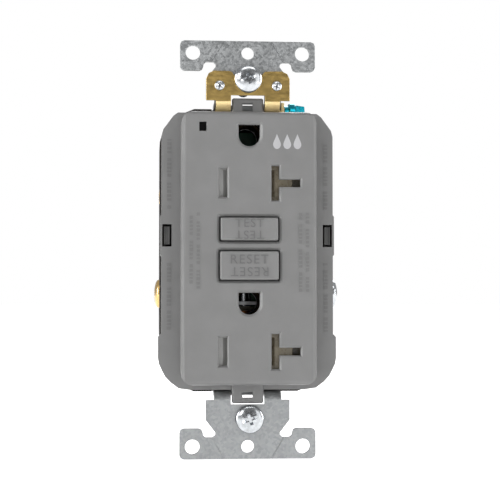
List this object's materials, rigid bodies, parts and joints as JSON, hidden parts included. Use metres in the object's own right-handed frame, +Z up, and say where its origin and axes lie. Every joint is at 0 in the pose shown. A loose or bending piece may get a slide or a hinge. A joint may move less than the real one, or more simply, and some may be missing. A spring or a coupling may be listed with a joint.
{
  "type": "gfci outlet",
  "caption": "Decorator-style ground-fault duplex receptacle with test and reset buttons, shuttered blade slots, a steel mounting strap and side terminal screws.",
  "frame": {"origin": "centre of the device on the wall plane, which is the back face of the strap's ears", "axes": "+Z up along the strap, with the ground holes above their blade slots; +Y into the wall, so the face looks along -Y; +X to the right seen from the front"},
  "size_m": [0.0472, 0.0332, 0.1028],
  "materials": {
    "grey_plastic": "fine satin texture",
    "black_plastic": "satin",
    "galvanised_steel": "satin galvanised",
    "zinc_screw": "bright zinc",
    "brass": "satin",
    "teal_screw": "glossy coloured plating",
    "dark_shutter": "satin",
    "khaki_shutter": "satin",
    "dark_lens": "glossy",
    "lamp": "clear glossy",
    "spring_steel": "bright",
    "board": "satin",
    "copper": "enamelled copper",
    "ivory_nylon": "matte",
    "blue_ceramic": "glossy coating",
    "red_film": "glossy",
    "tan_resistor": "glossy"
  },
  "bodies": {
    "device": {"front_cover": "grey_plastic", "rear_housing": "black_plastic", "mid_frame": "black_plastic", "strap": "galvanised_steel", "ground_plate": "brass", "rivet_left": "zinc_screw", "rivet_right": "zinc_screw", "screw_retainer_upper": "black_plastic", "screw_retainer_lower": "black_plastic", "reset_spring": "spring_steel", "plunger_spring": "spring_steel", "shutter_spring_upper": "spring_steel", "shutter_spring_lower": "spring_steel", "test_spring": "brass", "indicator_lens": "dark_lens", "indicator_lamp": "lamp", "hot_contact_strip": "brass", "neutral_contact_strip": "brass", "ground_contact_upper": "brass", "ground_contact_lower": "brass", "circuit_board": "board", "sensing_toroid": "copper", "neutral_toroid": "copper", "solenoid_bobbin": "ivory_nylon", "solenoid_coil": "copper", "solenoid_frame": "galvanised_steel", "varistor": "blue_ceramic", "capacitor": "red_film", "control_chip": "black_plastic", "thyristor": "black_plastic", "resistor": "tan_resistor", "terminal_plate_hot_line": "brass", "terminal_plate_hot_load": "brass", "terminal_plate_neutral_line": "galvanised_steel", "terminal_plate_neutral_load": "galvanised_steel"},
    "test_button": {"test_button": "grey_plastic"},
    "reset_button": {"reset_button": "grey_plastic"},
    "plunger": {"plunger": "zinc_screw", "latch_plate": "galvanised_steel"},
    "carriage": {"contact_carriage": "ivory_nylon", "moving_contact_hot": "brass", "moving_contact_neutral": "brass"},
    "mounting_screw_upper": {"mounting_screw_upper": "zinc_screw"},
    "mounting_screw_lower": {"mounting_screw_lower": "zinc_screw"},
    "ground_screw": {"ground_screw": "teal_screw"},
    "hot_shutter_upper": {"hot_shutter_upper": "dark_shutter"},
    "neutral_shutter_upper": {"neutral_shutter_upper": "khaki_shutter"},
    "hot_shutter_lower": {"hot_shutter_lower": "dark_shutter"},
    "neutral_shutter_lower": {"neutral_shutter_lower": "khaki_shutter"},
    "clamp_plate_hot_line": {"clamp_plate_hot_line": "galvanised_steel"},
    "terminal_screw_hot_line": {"terminal_screw_hot_line": "brass"},
    "clamp_plate_hot_load": {"clamp_plate_hot_load": "galvanised_steel"},
    "terminal_screw_hot_load": {"terminal_screw_hot_load": "brass"},
    "clamp_plate_neutral_line": {"clamp_plate_neutral_line": "galvanised_steel"},
    "terminal_screw_neutral_line": {"terminal_screw_neutral_line": "zinc_screw"},
    "clamp_plate_neutral_load": {"clamp_plate_neutral_load": "galvanised_steel"},
    "terminal_screw_neutral_load": {"terminal_screw_neutral_load": "zinc_screw"}
  },
  "joints": [
    {"name": "test_press", "type": "slide", "parent": "device", "child": "test_button", "axis": [0, 1, 0], "range_m": [0, 0.0016], "stiffness_N_per_m": 600, "springref_m": -0.001},
    {"name": "reset_press", "type": "slide", "parent": "device", "child": "reset_button", "axis": [0, 1, 0], "range_m": [0, 0.002], "stiffness_N_per_m": 900, "springref_m": -0.001},
    {"name": "hot_shutter_upper_slide", "type": "slide", "parent": "device", "child": "hot_shutter_upper", "axis": [-1, 0, 0], "range_m": [0, 0.0029], "stiffness_N_per_m": 120, "springref_m": -0.001},
    {"name": "neutral_shutter_upper_slide", "type": "slide", "parent": "device", "child": "neutral_shutter_upper", "axis": [1, 0, 0], "range_m": [0, 0.0029]},
    {"name": "hot_shutter_lower_slide", "type": "slide", "parent": "device", "child": "hot_shutter_lower", "axis": [-1, 0, 0], "range_m": [0, 0.0029], "stiffness_N_per_m": 120, "springref_m": -0.001},
    {"name": "neutral_shutter_lower_slide", "type": "slide", "parent": "device", "child": "neutral_shutter_lower", "axis": [1, 0, 0], "range_m": [0, 0.0029]},
    {"name": "plunger_pull", "type": "slide", "parent": "device", "child": "plunger", "axis": [0, 0, -1], "range_m": [0, 0.0015], "stiffness_N_per_m": 250, "springref_m": -0.002, "deforming": ["plunger_spring"]},
    {"name": "contact_open", "type": "slide", "parent": "device", "child": "carriage", "axis": [0, 1, 0], "range_m": [0, 0.0018], "stiffness_N_per_m": 400, "springref_m": -0.001},
    {"name": "mounting_screw_upper_turn", "type": "hinge", "parent": "device", "child": "mounting_screw_upper", "pos_m": [0, -0.0026, 0.04167], "axis": [0, -1, 0], "continuous": true},
    {"name": "mounting_screw_lower_turn", "type": "hinge", "parent": "device", "child": "mounting_screw_lower", "pos_m": [0.00045, -0.0016, -0.04167], "axis": [0, -1, 0], "continuous": true},
    {"name": "ground_screw_turn", "type": "hinge", "parent": "device", "child": "ground_screw", "pos_m": [0.0106, 0.0048, 0.0333], "axis": [1, 0, 0], "continuous": true},
    {"name": "terminal_screw_hot_line_turn", "type": "hinge", "parent": "device", "child": "terminal_screw_hot_line", "pos_m": [-0.0199, 0.0142, 0.014], "axis": [-1, 0, 0], "range_deg": [0, 1080]},
    {"name": "clamp_plate_hot_line_slide", "type": "slide", "parent": "device", "child": "clamp_plate_hot_line", "axis": [1, 0, 0], "range_m": [0, 0.00238]},
    {"name": "terminal_screw_hot_load_turn", "type": "hinge", "parent": "device", "child": "terminal_screw_hot_load", "pos_m": [-0.021, 0.0142, -0.011], "axis": [-1, 0, 0], "range_deg": [-540, 540]},
    {"name": "clamp_plate_hot_load_slide", "type": "slide", "parent": "device", "child": "clamp_plate_hot_load", "axis": [1, 0, 0], "range_m": [-0.00119, 0.00119]},
    {"name": "terminal_screw_neutral_line_turn", "type": "hinge", "parent": "device", "child": "terminal_screw_neutral_line", "pos_m": [0.0199, 0.0142, 0.014], "axis": [1, 0, 0], "range_deg": [0, 1080]},
    {"name": "clamp_plate_neutral_line_slide", "type": "slide", "parent": "device", "child": "clamp_plate_neutral_line", "axis": [-1, 0, 0], "range_m": [0, 0.00238]},
    {"name": "terminal_screw_neutral_load_turn", "type": "hinge", "parent": "device", "child": "terminal_screw_neutral_load", "pos_m": [0.0224, 0.0142, -0.011], "axis": [1, 0, 0], "range_deg": [-540, 540]},
    {"name": "clamp_plate_neutral_load_slide", "type": "slide", "parent": "device", "child": "clamp_plate_neutral_load", "axis": [-1, 0, 0], "range_m": [-0.00119, 0.00119]}
  ],
  "couplings": [
    {"joint": "neutral_shutter_upper_slide", "follows": "hot_shutter_upper_slide", "ratio": 1},
    {"joint": "neutral_shutter_lower_slide", "follows": "hot_shutter_lower_slide", "ratio": 1},
    {"joint": "terminal_screw_hot_line_turn", "follows": "clamp_plate_hot_line_slide", "rad_per_m": 7913.3},
    {"joint": "terminal_screw_hot_load_turn", "follows": "clamp_plate_hot_load_slide", "rad_per_m": 7913.3},
    {"joint": "terminal_screw_neutral_line_turn", "follows": "clamp_plate_neutral_line_slide", "rad_per_m": 7913.3},
    {"joint": "terminal_screw_neutral_load_turn", "follows": "clamp_plate_neutral_load_slide", "rad_per_m": 7913.3}
  ]
}
